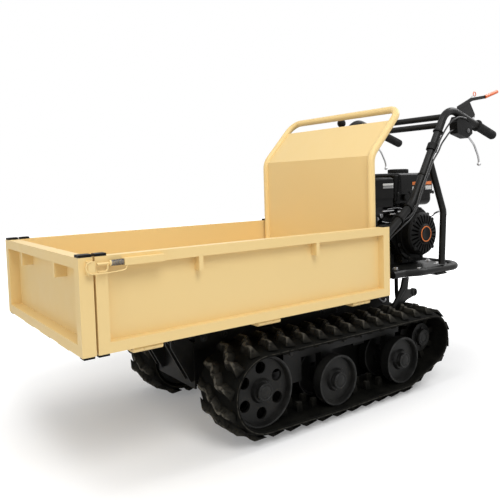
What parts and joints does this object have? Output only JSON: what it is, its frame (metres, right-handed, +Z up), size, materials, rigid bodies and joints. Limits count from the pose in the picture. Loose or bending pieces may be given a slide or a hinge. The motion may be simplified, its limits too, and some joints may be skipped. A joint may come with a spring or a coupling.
{
  "type": "tracked walk-behind crawler carrier",
  "caption": "Walk-behind crawler carrier: rubber tracks, drop-side tipping load bed with headboard, rear engine deck and handlebars.",
  "frame": {"origin": "on the ground, middle of the overall length and width", "axes": "+X forward (towards the gate), +Y to the machine's left, +Z up"},
  "size_m": [1.748, 0.674, 1.059],
  "materials": {
    "bed_paint": "satin sand paint",
    "black_paint": "satin black paint",
    "engine_metal": "cast, dark",
    "engine_cover": "gloss black paint",
    "cable_sheath": "extruded cable outer",
    "black_plastic": "moulded",
    "grip_rubber": "ribbed",
    "track_rubber": "worn",
    "lever_metal": "polished",
    "orange_sleeve": "dipped"
  },
  "bodies": {
    "chassis": {"chassis_frame": "black_paint", "gearbox": "black_paint", "engine_deck": "black_paint", "bumper_tube": "black_paint", "engine_block": "engine_metal", "blower_housing": "engine_cover", "starter_cover": "black_plastic", "fuel_tank": "engine_cover", "tank_cap": "black_plastic", "air_filter": "black_plastic", "muffler": "engine_cover", "carburettor_body": "engine_metal", "track_left": "track_rubber", "track_right": "track_rubber", "idlers": "black_paint", "rollers": "black_paint", "sprockets": "black_paint", "track_beams": "black_paint", "handlebar_left": "black_paint", "handlebar_right": "black_paint", "brace_left": "black_paint", "brace_right": "black_paint", "crossbars": "black_paint", "grips": "grip_rubber", "lever_housings": "black_plastic", "brake_levers": "lever_metal", "lever_bracket": "black_paint", "drive_lever": "black_paint", "drive_sleeve": "orange_sleeve", "gear_stalk": "black_paint", "gear_ball": "black_plastic", "cables": "cable_sheath"},
    "bed": {"bed_floor": "bed_paint", "bed_rail_left": "black_paint", "bed_rail_right": "black_paint", "headboard": "bed_paint", "guard_tube": "bed_paint"},
    "gate": {"gate_panel": "bed_paint", "gate_caps": "black_plastic"},
    "left_side": {"left_side_panel": "bed_paint", "left_side_caps": "black_plastic", "left_latch": "bed_paint"},
    "right_side": {"right_side_panel": "bed_paint", "right_side_caps": "black_plastic", "right_latch": "bed_paint"}
  },
  "joints": [
    {"name": "bed_tip", "type": "hinge", "parent": "chassis", "child": "bed", "pos_m": [0.534, 0, 0.28], "axis": [0, 1, 0], "range_deg": [0, 32]},
    {"name": "gate_drop", "type": "hinge", "parent": "bed", "child": "gate", "pos_m": [0.858, 0, 0.338], "axis": [0, 1, 0], "range_deg": [0, 90]},
    {"name": "left_side_drop", "type": "hinge", "parent": "bed", "child": "left_side", "pos_m": [0.356, 0.3075, 0.338], "axis": [-1, 0, 0], "range_deg": [0, 90]},
    {"name": "right_side_drop", "type": "hinge", "parent": "bed", "child": "right_side", "pos_m": [0.356, -0.3075, 0.338], "axis": [1, 0, 0], "range_deg": [0, 90]}
  ]
}
